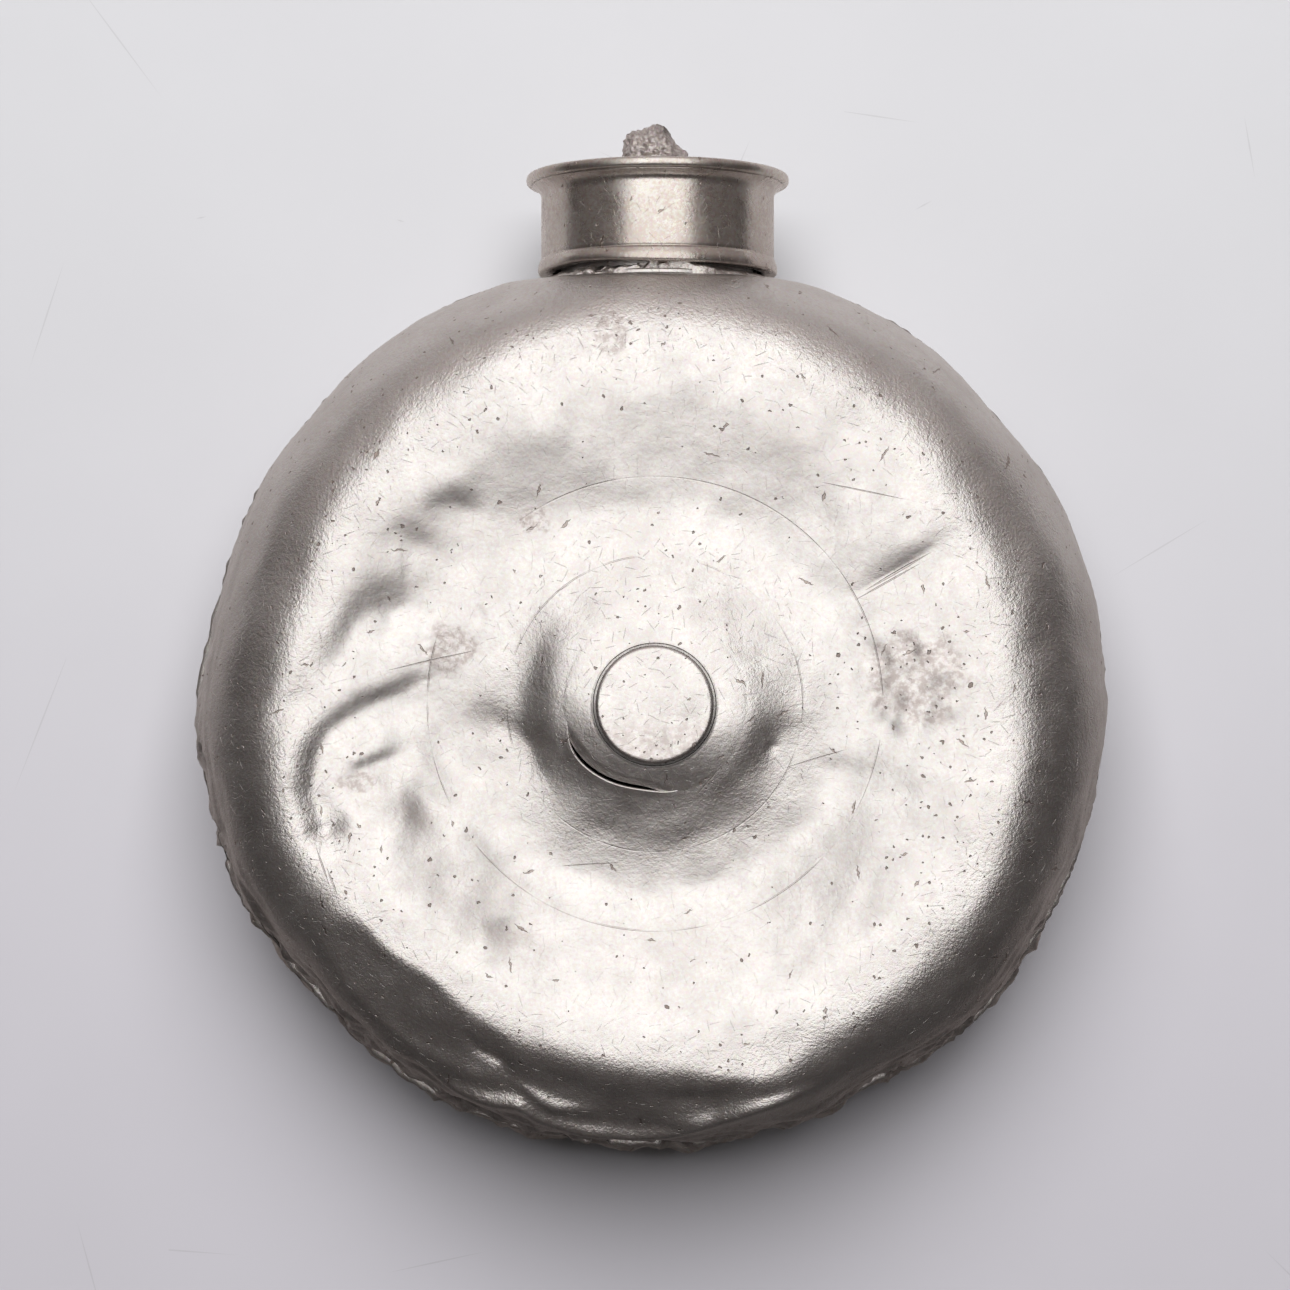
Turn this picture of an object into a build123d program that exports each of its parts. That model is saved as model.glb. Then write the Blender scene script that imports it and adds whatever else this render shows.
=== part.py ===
"""Round pewter flask with a screw cap, lying on its back.

Two dished half shells are soldered together round their rims. Each has a turned boss in the middle, which
plugs the hole that the half was turned on. A threaded neck stands on a flat seat at the top of the body, and a
screw cap with the broken root of its finial closes it on a leather washer.

Frame, in millimetres: the origin is under the middle of the round body, on the plane that it lies on. +Z is
up, out of the front face, and +Y runs along the neck towards the cap.
"""

import math
import os

from build123d import *

# Body
BODY_R = 65.2
BODY_DEPTH = 48.0
MID = BODY_DEPTH / 2
WALL = 1.8
CREST_OUTER_R = 49.0  # the flat ring that the flask lies on, and its twin in front
CREST_INNER_R = 45.0
VALLEY_R = 27.0
VALLEY_DROP = 2.8  # how far the dish lies below the crest
PLATEAU_R = 12.6
PLATEAU_DROP = 1.2
PLATEAU_SLOPE = 0.24  # fall per unit of radius, where the plateau turns into the dish
SEAT_Y = 60.2  # the flat seat that the neck stands on

# Bosses
BOSS_BORE_R = 10.5
RING_TOP_DROP = 0.35
RING_EDGE = 0.25
RING_DEPTH = 3.2
BUTTON_R = 8.1
BUTTON_GAP = 0.3
BUTTON_THICK = 1.5
BUTTON_EDGE = 0.5
SPIGOT_R = 5.6
SPIGOT_DEPTH = 4.0

# Seam
SEAM_DEPTH = 0.95
SEAM_HALF = 0.95
SEAM_PROUD = 0.35

# Thread, right-handed
PITCH = 3.0
THREAD_BITE = 0.25  # how far a ridge is rooted in its wall
NECK_RIDGE_H = 0.8
NECK_RIDGE_START = 3.4
NECK_RIDGE_LENGTH = 8.0
RIDGE_BASE_W = 1.5
RIDGE_CREST_W = 0.7
CAP_RIDGE_LENGTH = 6.0
THREAD_CLEARANCE = 0.3

# Neck
NECK_X = 0.5  # the neck stands a little to one side
NECK_BORE_R = 12.0
NECK_R = 14.0
NECK_HEIGHT = 13.0
NECK_SPIGOT = WALL + 0.9
COLLAR_R = 16.2
COLLAR_H = 1.1
SOLDER_W = 0.5
SOLDER_H = 0.7

# Cap
CAP_RISE = 1.5  # from the seat to the rim of the cap
CAP_BORE_R = NECK_R + NECK_RIDGE_H + THREAD_CLEARANCE
CAP_R = 16.85
CAP_TOP_Y = 76.1
SKIRT_R = 17.3
SKIRT_H = 2.3
SKIRT_GROOVE = 0.25
LID_THICK = 1.5
LID_R = 19.0
LID_EDGE = 0.6
COVE_H = 1.0
WASHER_T = 1.3
WASHER_GAP = 0.05
WASHER_R = 14.8

# Finial root
STUMP_H = 7.7
STUMP_BASE_R = 4.6
STUMP_TOP_R = 1.9
LOBE_X = -2.3
LOBE_H = 6.7
LOBE_BASE_R = 2.4
LOBE_TOP_R = 1.3

TOP_FACE = BODY_DEPTH
CAP_RIM_Y = SEAT_Y + CAP_RISE
LID_UNDER_Y = CAP_TOP_Y - LID_THICK
MOUTH_Y = SEAT_Y + NECK_HEIGHT
NECK_AXIS = Location((NECK_X, 0, MID), (-90, 0, 0))  # local +Z runs along the neck
BIG = 4 * BODY_R


def revolved(points_or_edges):
    """The solid that a closed outline in the XZ plane sweeps round Z."""
    face = make_face(points_or_edges)
    return revolve(face, axis=Axis.Z)


def turned(points):
    """The solid that a polygon of (radius, height) points sweeps round Z."""
    outline = Polyline(*[(r, 0, h) for r, h in points], close=True)
    return revolved(outline.edges())


def along_neck(shape):
    """Places what was turned about Z on the neck's axis, with its height along +Y."""
    return NECK_AXIS * shape


def half_dome(inset):
    """The front half of the body as a solid, from the mid plane up, with every face moved in by inset."""
    top = TOP_FACE - inset
    centre_z = TOP_FACE - PLATEAU_DROP - inset
    axis_low = Vector(0, 0, MID)
    rim = Vector(BODY_R - inset, 0, MID)
    crest_out = Vector(CREST_OUTER_R, 0, top)
    crest_in = Vector(CREST_INNER_R, 0, top)
    valley = Vector(VALLEY_R, 0, top - VALLEY_DROP)
    plateau = Vector(PLATEAU_R, 0, centre_z)
    axis_high = Vector(0, 0, centre_z)
    shoulder = Plane.XZ * EllipticalCenterArc(
        (CREST_OUTER_R, MID), BODY_R - inset - CREST_OUTER_R, top - MID, arc_size=90
    )
    dish = Spline(
        crest_in, valley, plateau, tangents=[(-1, 0, 0), (-1, 0, 0), (-1, 0, PLATEAU_SLOPE)]
    )
    outline = [
        Line(axis_low, rim),
        shoulder,
        Line(crest_out, crest_in),
        dish,
        Line(plateau, axis_high),
        Line(axis_high, axis_low),
    ]
    return revolved([edge for line in outline for edge in line.edges()])


def below_seat(shape, inset):
    """Cuts a body solid off flat where the neck stands on it."""
    limit = SEAT_Y - inset
    keep = Pos(0, limit - BIG / 2, MID) * Box(BIG, BIG, BIG)
    return shape & keep


def seam_groove():
    """The ring cut out of both rims for the solder."""
    return turned(
        [
            (BODY_R - SEAM_DEPTH, MID),
            (BODY_R + SEAM_DEPTH, MID - 2 * SEAM_HALF),
            (BODY_R + SEAM_DEPTH, MID + 2 * SEAM_HALF),
        ]
    )


def front_shell():
    shell = below_seat(half_dome(0), 0) - below_seat(half_dome(WALL), WALL)
    boss_hole = Pos(0, 0, TOP_FACE) * Cylinder(BOSS_BORE_R, 4 * WALL)
    neck_hole = along_neck(Pos(0, 0, SEAT_Y) * Cylinder(NECK_R, 4 * WALL))
    return shell - boss_hole - neck_hole - seam_groove()


def seam_solder():
    """The bead that fills the groove and stands a little proud of it, left out where the neck's seat is."""
    inner = Vector(BODY_R - SEAM_DEPTH, 0, MID)
    crown = Vector(BODY_R + SEAM_PROUD, 0, MID)
    upper = Vector(BODY_R, 0, MID + SEAM_HALF)
    lower = Vector(BODY_R, 0, MID - SEAM_HALF)
    outline = [Line(inner, upper), ThreePointArc(upper, crown, lower), Line(lower, inner)]
    bead = revolved([edge for line in outline for edge in line.edges()])
    past_seat = Pos(0, SEAT_Y + BIG / 2, MID) * Box(BIG, BIG, BIG)
    return bead - past_seat


def boss_ring():
    """A turned ring set in the shell's hole, with a recess for the button and a ledge under it."""
    plateau_z = TOP_FACE - PLATEAU_DROP
    recess_r = BUTTON_R + BUTTON_GAP
    recess_z = TOP_FACE - BUTTON_THICK
    return turned(
        [
            (SPIGOT_R, plateau_z - RING_DEPTH),
            (BOSS_BORE_R, plateau_z - RING_DEPTH),
            (BOSS_BORE_R, plateau_z),
            (PLATEAU_R, plateau_z),
            (PLATEAU_R, plateau_z + RING_EDGE),
            (recess_r + RING_EDGE, TOP_FACE - RING_TOP_DROP),
            (recess_r, TOP_FACE - RING_TOP_DROP - RING_EDGE),
            (recess_r, recess_z),
            (SPIGOT_R, recess_z),
        ]
    )


def boss_button():
    """A flat-faced plug with a spigot that goes through the collar."""
    seat_z = TOP_FACE - BUTTON_THICK
    return turned(
        [
            (0, seat_z - SPIGOT_DEPTH),
            (SPIGOT_R, seat_z - SPIGOT_DEPTH),
            (SPIGOT_R, seat_z),
            (BUTTON_R, seat_z),
            (BUTTON_R, TOP_FACE - BUTTON_EDGE),
            (BUTTON_R - BUTTON_EDGE, TOP_FACE),
            (0, TOP_FACE),
        ]
    )


def thread_ridge(root_r, crest_r, start, length):
    """A right-handed ridge about Z, from its root in a wall out or in to its crest."""
    path = Helix(pitch=PITCH, height=length, radius=root_r, center=(0, 0, start))
    section = Plane(origin=path @ 0, x_dir=(1, 0, 0), z_dir=path % 0)
    rise = crest_r - root_r
    outline = Polyline(
        (0, -RIDGE_BASE_W / 2),
        (rise, -RIDGE_CREST_W / 2),
        (rise, RIDGE_CREST_W / 2),
        (0, RIDGE_BASE_W / 2),
        close=True,
    )
    return sweep(section * make_face(outline.edges()), path=path, is_frenet=True)


def neck():
    tube = turned(
        [
            (NECK_BORE_R, SEAT_Y - NECK_SPIGOT),
            (NECK_R, SEAT_Y - NECK_SPIGOT),
            (NECK_R, SEAT_Y),
            (COLLAR_R, SEAT_Y),
            (COLLAR_R, SEAT_Y + COLLAR_H),
            (NECK_R, SEAT_Y + COLLAR_H),
            (NECK_R, MOUTH_Y),
            (NECK_BORE_R, MOUTH_Y),
        ]
    )
    ridge = thread_ridge(
        NECK_R - THREAD_BITE, NECK_R + NECK_RIDGE_H, SEAT_Y + NECK_RIDGE_START, NECK_RIDGE_LENGTH
    )
    return along_neck(tube + ridge)


def neck_solder():
    return along_neck(
        turned([(COLLAR_R, SEAT_Y), (COLLAR_R + SOLDER_W, SEAT_Y), (COLLAR_R, SEAT_Y + SOLDER_H)])
    )


def cap_barrel():
    groove_y = CAP_RIM_Y + SKIRT_H
    wall = turned(
        [
            (CAP_BORE_R, CAP_RIM_Y),
            (SKIRT_R, CAP_RIM_Y),
            (SKIRT_R, groove_y - SKIRT_GROOVE),
            (CAP_R - SKIRT_GROOVE, groove_y),
            (CAP_R, groove_y + SKIRT_GROOVE),
            (CAP_R, LID_UNDER_Y - COVE_H),
            (LID_R - LID_EDGE, LID_UNDER_Y),
            (CAP_BORE_R, LID_UNDER_Y),
        ]
    )
    ridge = thread_ridge(
        CAP_BORE_R + THREAD_BITE,
        CAP_BORE_R - NECK_RIDGE_H,
        SEAT_Y + NECK_RIDGE_START + PITCH / 2,
        CAP_RIDGE_LENGTH,
    )
    return along_neck(wall + ridge)


def cap_lid():
    disc = Pos(0, 0, CAP_TOP_Y - LID_THICK / 2) * Cylinder(LID_R, LID_THICK)
    disc = fillet(disc.edges().filter_by(GeomType.CIRCLE), LID_EDGE)
    return along_neck(disc)


def cap_washer():
    low = MOUTH_Y + WASHER_GAP
    return along_neck(Pos(0, 0, low + WASHER_T / 2) * Cylinder(WASHER_R, WASHER_T))


def cap_stump():
    """The broken root of the finial: a stub with a lower lobe beside it."""
    stub = Pos(0, 0, CAP_TOP_Y + STUMP_H / 2) * Cone(STUMP_BASE_R, STUMP_TOP_R, STUMP_H)
    lobe = Pos(LOBE_X, 0, CAP_TOP_Y + LOBE_H / 2) * Cone(LOBE_BASE_R, LOBE_TOP_R, LOBE_H)
    return along_neck(stub + lobe)


def behind(shape):
    """The back's twin of a front piece."""
    return mirror(shape, about=Plane.XY.offset(MID))


def main():
    os.makedirs("parts", exist_ok=True)
    nodes = {
        "front_shell": front_shell(),
        "back_shell": behind(front_shell()),
        "seam_solder": seam_solder(),
        "front_boss_ring": boss_ring(),
        "front_boss_button": boss_button(),
        "back_boss_ring": behind(boss_ring()),
        "back_boss_button": behind(boss_button()),
        "neck": neck(),
        "neck_solder": neck_solder(),
        "cap_barrel": cap_barrel(),
        "cap_lid": cap_lid(),
        "cap_stump": cap_stump(),
        "cap_washer": cap_washer(),
    }
    for name, shape in nodes.items():
        export_step(shape, f"parts/{name}.step")
    turns = (MOUTH_Y - CAP_RIM_Y) / PITCH
    print(f"rise per radian {PITCH / (2 * math.pi):.6f} mm, turns that clear the mouth {turns:.2f}")


main()
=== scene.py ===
"""Looks of the round pewter flask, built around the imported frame.

Every length here is in millimetres until a mesh is made, and every angle round the body is in degrees from +X
towards the neck. The flask lies on its back, so the front face looks up.
"""

import math

import bpy
import numpy as np
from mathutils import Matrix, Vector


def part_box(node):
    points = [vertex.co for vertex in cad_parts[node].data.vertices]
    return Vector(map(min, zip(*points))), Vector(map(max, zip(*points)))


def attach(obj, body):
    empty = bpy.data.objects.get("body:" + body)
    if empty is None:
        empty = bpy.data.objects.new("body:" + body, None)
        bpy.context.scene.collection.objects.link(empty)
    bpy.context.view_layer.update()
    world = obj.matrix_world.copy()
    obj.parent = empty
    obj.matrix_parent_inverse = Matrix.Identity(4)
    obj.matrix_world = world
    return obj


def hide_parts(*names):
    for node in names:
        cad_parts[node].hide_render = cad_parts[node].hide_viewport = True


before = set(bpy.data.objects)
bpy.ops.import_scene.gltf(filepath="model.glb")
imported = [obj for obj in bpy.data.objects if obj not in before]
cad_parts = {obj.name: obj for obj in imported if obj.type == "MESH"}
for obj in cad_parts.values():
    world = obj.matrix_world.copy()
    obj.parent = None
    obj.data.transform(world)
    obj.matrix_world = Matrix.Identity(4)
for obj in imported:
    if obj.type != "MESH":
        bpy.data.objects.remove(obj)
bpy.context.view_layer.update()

MM = 0.001


def box_mm(node):
    """The lowest and highest corner of a CAD node, in millimetres."""
    low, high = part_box(node)
    return np.array(low) / MM, np.array(high) / MM


# -------------------- sizes

SHELL_LOW, SHELL_HIGH = box_mm("front_shell")
BODY_R = SHELL_HIGH[0]
TOP_Z = SHELL_HIGH[2]
MID_Z = SHELL_LOW[2]
NECK_LOW, NECK_HIGH = box_mm("neck")
NECK_X = (NECK_LOW[0] + NECK_HIGH[0]) / 2
MOUTH_Y = NECK_HIGH[1]
COLLAR_R = (NECK_HIGH[0] - NECK_LOW[0]) / 2
SEAT_Y = box_mm("neck_solder")[0][1]
CAP_RIM_Y = box_mm("cap_barrel")[0][1]
LID_LOW, LID_HIGH = box_mm("cap_lid")
LID_R = (LID_HIGH[0] - LID_LOW[0]) / 2
WASHER_LOW, WASHER_HIGH = box_mm("cap_washer")
STUMP_Y = box_mm("cap_stump")[0][1]
RING_LOW, RING_HIGH = box_mm("front_boss_ring")
RING_R = RING_HIGH[0]
BUTTON_R = box_mm("front_boss_button")[1][0]

# Sizes that no box gives
WALL = 1.8
SEAT_EDGE = 0.9
NECK_BORE_R = 12.0
NECK_R = 14.0
COLLAR_H = 1.1
THREAD_PITCH = 3.0
NECK_RIDGE_H = 0.8
CAP_BORE_R = 15.1
CAP_R = 16.85
SKIRT_R = 17.3
SKIRT_H = 2.3
COVE_H = 1.0
RECESS_R = BUTTON_R + 0.35
RING_LAP = 0.4  # how far the front shell reaches over its boss ring
CRACK_GAP = 0.6  # how far apart the two are where they are torn
RING_PROUD = 0.03  # how far the ring's face crosses the shell's over its lap
CREST_Z = TOP_Z - 0.4

# -------------------- shape helpers


def smooth_step(value, low, high):
    """0 below low, 1 above high, and a smooth rise between."""
    t = np.clip((value - low) / (high - low), 0, 1)
    return t * t * (3 - 2 * t)


def soft_min(a, b, radius):
    """The lower of two heights, with the crease between them rounded over about radius."""
    h = np.clip(0.5 + 0.5 * (b - a) / radius, 0, 1)
    return b * (1 - h) + a * h - radius * h * (1 - h)


def angle_gap(angle, centre):
    """The signed difference of two angles in degrees, from -180 to 180."""
    return (angle - centre + 180) % 360 - 180


def swells(angle, bumps):
    """A sum of smooth bumps round the body: each is a middle angle, a half width and a height."""
    return sum(height * np.exp(-((angle_gap(angle, mid) / width) ** 2)) for mid, width, height in bumps)


def plateau(angle, centre, half, power=4):
    """1 near a centre angle and 0 further off than half. A larger power gives steeper sides."""
    return np.exp(-((np.abs(angle_gap(angle, centre)) / half) ** power))


def ripple(points, wavelength, seed, waves=28):
    """Smooth irregular noise of about unit size, made of plane waves in random directions."""
    rng = np.random.default_rng(seed)
    directions = rng.normal(size=(waves, 3))
    directions /= np.linalg.norm(directions, axis=1)[:, None]
    directions *= (2 * math.pi / wavelength) * rng.uniform(0.6, 1.5, waves)[:, None]
    phases = rng.uniform(0, 2 * math.pi, waves)
    total = np.zeros(points.shape[:-1])
    for direction, phase in zip(directions, phases):
        total += np.sin(points @ direction + phase)
    return total / math.sqrt(waves / 2)


def oval(x, y, centre, size, turn=0.0, edge=2.0):
    """1 in the middle of an oval and 0 outside it. A larger edge gives a flatter floor and steeper sides."""
    a = math.radians(turn)
    dx, dy = x - centre[0], y - centre[1]
    u = (dx * math.cos(a) + dy * math.sin(a)) / size[0]
    v = (dy * math.cos(a) - dx * math.sin(a)) / size[1]
    return np.exp(-((u * u + v * v) ** (edge / 2)))


def along(x, y, points):
    """Where points lie beside a bent line: distance, lean (1 left, -1 right) and place along it, 0 to 1."""
    points = np.array(points, float)
    runs = np.linalg.norm(np.diff(points, axis=0), axis=1)
    starts = np.concatenate([[0], np.cumsum(runs)])
    gap = np.full(x.shape, 1e9)
    lean = np.zeros(x.shape)
    place = np.zeros(x.shape)
    for point, start, run, step in zip(points, starts, runs, np.diff(points, axis=0)):
        step = step / run
        dx, dy = x - point[0], y - point[1]
        t = np.clip(dx * step[0] + dy * step[1], 0, run)
        here = np.maximum(np.hypot(dx - t * step[0], dy - t * step[1]), 1e-6)
        nearer = here < gap
        lean = np.where(nearer, (dy * step[0] - dx * step[1]) / here, lean)
        place = np.where(nearer, (start + t) / starts[-1], place)
        gap = np.minimum(here, gap)
    return gap, lean, place


def fold(x, y, points, left, right):
    """1 on a bent line, lower at its ends, and falling to 0 over its own width on each side."""
    gap, lean, place = along(x, y, points)
    width = right + (left - right) * smooth_step(lean, -1, 1)
    return np.sin(math.pi * place) ** 1.2 * np.exp(-((gap / width) ** 2))


def blurred(values, positions, radius):
    """Smooths samples at even positions with a Gaussian."""
    step = positions[1] - positions[0]
    reach = int(4 * radius / step)
    kernel = np.exp(-0.5 * (np.arange(-reach, reach + 1) * step / radius) ** 2)
    padded = np.pad(values, reach, mode="edge")
    return np.convolve(padded, kernel / kernel.sum(), mode="valid")


# -------------------- mesh helpers


def new_object(name, points_mm, faces, smooth=True):
    mesh = bpy.data.meshes.new(name)
    mesh.from_pydata((np.asarray(points_mm) * MM).tolist(), [], faces)
    mesh.validate()
    mesh.update()
    if smooth:
        mesh.polygons.foreach_set("use_smooth", [True] * len(mesh.polygons))
    obj = bpy.data.objects.new(name, mesh)
    bpy.context.scene.collection.objects.link(obj)
    return obj


def ring_faces(rings, columns, close_rings=False):
    """The quads of a grid whose columns close round. Rings may close as well."""
    faces = []
    last = rings if close_rings else rings - 1
    for i in range(last):
        a, b = i * columns, ((i + 1) % rings) * columns
        for j in range(columns):
            k = (j + 1) % columns
            faces.append((a + j, a + k, b + k, b + j))
    return faces


def tube_object(name, grid):
    """A closed mesh from a grid of points [ring, column] that closes both ways, like a bent tube."""
    rings, columns, _ = grid.shape
    return new_object(name, grid.reshape(-1, 3), ring_faces(rings, columns, close_rings=True))


def capped_object(name, grid):
    """A closed mesh from a grid whose first and last rings are closed with a fan to their middles."""
    rings, columns, _ = grid.shape
    points = np.concatenate([grid.reshape(-1, 3), [grid[0].mean(0)], [grid[-1].mean(0)]])
    first, last = rings * columns, rings * columns + 1
    faces = ring_faces(rings, columns)
    for j in range(columns):
        k = (j + 1) % columns
        faces.append((first, k, j))
        faces.append((last, (rings - 1) * columns + j, (rings - 1) * columns + k))
    return new_object(name, points, faces)


def rounded_outline(points, radii, steps=5):
    """A polygon's points with each corner cut to an arc-like curve of about the given radius."""
    result = []
    count = len(points)
    for i, (point, radius) in enumerate(zip(points, radii)):
        here = np.array(point, float)
        if radius <= 0:
            result.append(here)
            continue
        before = np.array(points[i - 1], float) - here
        after = np.array(points[(i + 1) % count], float) - here
        reach = min(radius, 0.45 * np.linalg.norm(before), 0.45 * np.linalg.norm(after))
        start = here + before / np.linalg.norm(before) * reach
        end = here + after / np.linalg.norm(after) * reach
        for t in np.linspace(0, 1, steps):
            result.append((1 - t) ** 2 * start + 2 * t * (1 - t) * here + t * t * end)
    return np.array(result)


def dense(points, step, closed=True):
    """Adds points along the runs of an outline, so that none is longer than step."""
    result = []
    count = len(points)
    for i in range(count if closed else count - 1):
        a, b = points[i], points[(i + 1) % count]
        pieces = max(1, int(np.ceil(np.linalg.norm(b - a) / step)))
        for j in range(pieces):
            result.append(a + (b - a) * j / pieces)
    if not closed:
        result.append(points[-1])
    return np.array(result)


def round_points(r, a, z):
    """Points at radius r, angle a in radians and height z."""
    return np.stack([r * np.cos(a), r * np.sin(a), z + 0 * a], axis=-1)


def turned_z(outline, columns):
    """A grid of points from (radius, height) pairs turned about Z."""
    a = np.linspace(0, 2 * math.pi, columns, endpoint=False)
    return round_points(outline[:, 0][:, None], a, outline[:, 1][:, None])


def turned_neck(outline, columns):
    """A grid of points from (radius, height along the neck) pairs turned about the neck's axis."""
    a = np.linspace(0, 2 * math.pi, columns, endpoint=False)
    r, h = outline[:, 0][:, None], outline[:, 1][:, None]
    return np.stack([NECK_X + r * np.sin(a), h + 0 * a, MID_Z + r * np.cos(a)], axis=-1)


def neck_radius(grid):
    """Distance of points from the neck's axis."""
    return np.hypot(grid[..., 0] - NECK_X, grid[..., 2] - MID_Z)


def set_attribute(obj, name, values):
    attribute = obj.data.attributes.new(name, "FLOAT", "POINT")
    attribute.data.foreach_set("value", np.asarray(values, np.float32).ravel())


def with_ends(values):
    """Values at a capped object's grid points, with a 0 for the middle of each end."""
    return np.concatenate([values.ravel(), [0, 0]])


def face_outwards(obj):
    """Turns every face of a closed mesh outwards."""
    bpy.context.view_layer.objects.active = obj
    bpy.ops.object.mode_set(mode="EDIT")
    bpy.ops.mesh.select_all(action="SELECT")
    bpy.ops.mesh.normals_make_consistent(inside=False)
    bpy.ops.object.mode_set(mode="OBJECT")


def finish_piece(obj, body, nodes, material):
    face_outwards(obj)
    obj.data.materials.clear()
    obj.data.materials.append(material)
    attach(obj, body)
    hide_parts(*nodes)
    return obj


# -------------------- the shells' shape

COLUMNS = 512  # points round a shell
SHOULDER_ROWS = 72
LIP_ROWS = 12
BACK_KEEP_EVERY = 8  # which of the back's outer rings its inner face repeats

# Radius round the seam, as swells on a true circle: middle angle, half width, height.
SEAM_SWELLS = [
    (110, 22, -0.9), (70, 14, -1.0), (42, 10, -0.7), (140, 9, -0.7), (180, 9, 1.4), (206, 14, 2.1),
    (240, 18, 1.3), (266, 14, 0.7), (275, 2.5, 0.5), (291, 5, 0.7), (317, 13, 1.5), (336, 12, 0.5),
]

# Where the flat of the face ends and the shoulder begins
CREST_R = 48.7
CREST_SWELLS = [
    (10, 28, -1.4), (90, 30, 1.7), (131, 8, 0.8), (160, 10, -1.0), (197, 14, 2.4),
    (240, 12, -0.8), (256, 12, -1.0), (286, 9, 3.6), (305, 12, 1.2), (331, 12, 2.3),
]

# How far the back half stands out past the front half's rim
LIP_SWELLS = [(172, 14, 1.2), (212, 16, 2.2), (240, 20, 2.0), (270, 18, 2.4), (300, 18, 2.4), (328, 16, 1.8)]
LIP_DROP = 2.0

# Height of the front face by radius, as it was spun
FRONT_DISH = [
    (8.4, 47.42), (12.5, 46.95), (16.0, 46.2), (20.5, 45.3), (24.5, 44.85), (27.5, 44.8),
    (33.0, 45.8), (37.5, 46.65), (41.5, 47.3), (45.0, CREST_Z), (60.0, CREST_Z),
]
DISH_BLUR = 1.3

# The lower half of the face is pushed further in round the boss
SAG_ANGLE = 257.0
SAG_HALF = 78.0
FRONT_SAG = [
    (8.2, 0.0), (12.0, 1.25), (15.0, 1.8), (19.0, 2.25), (26.0, 2.6),
    (30.0, 2.5), (36.0, 1.5), (44.0, 0.1), (60.0, 0.0),
]

# Dents of the front face: middle, half widths, depth, turn, edge
FRONT_DENTS = [
    ((-35.5, 7.5), (9.0, 8.0), 0.35, 30, 3.0),
    ((-37.5, -9.5), (9.5, 9.0), 0.35, 0, 3.0),
    ((-17.5, 0.5), (4.2, 12.0), 0.6, 0, 3.0),
    ((16.3, -5.9), (1.0, 0.8), 0.2, 20, 2.0),
    ((-24.2, 12.6), (0.7, 1.6), 0.15, 20, 2.0),
    ((-35.2, 12.7), (2.6, 1.7), 0.3, 20, 2.0),
    ((-45.6, -17.4), (2.6, 1.0), 0.35, 20, 2.0),
]


class Fold:
    """A line that the front face is folded in along, with a width on its left and on its right."""

    def __init__(self, depth, left, right, *points):
        self.depth, self.left, self.right, self.points = depth, left, right, points


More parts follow.
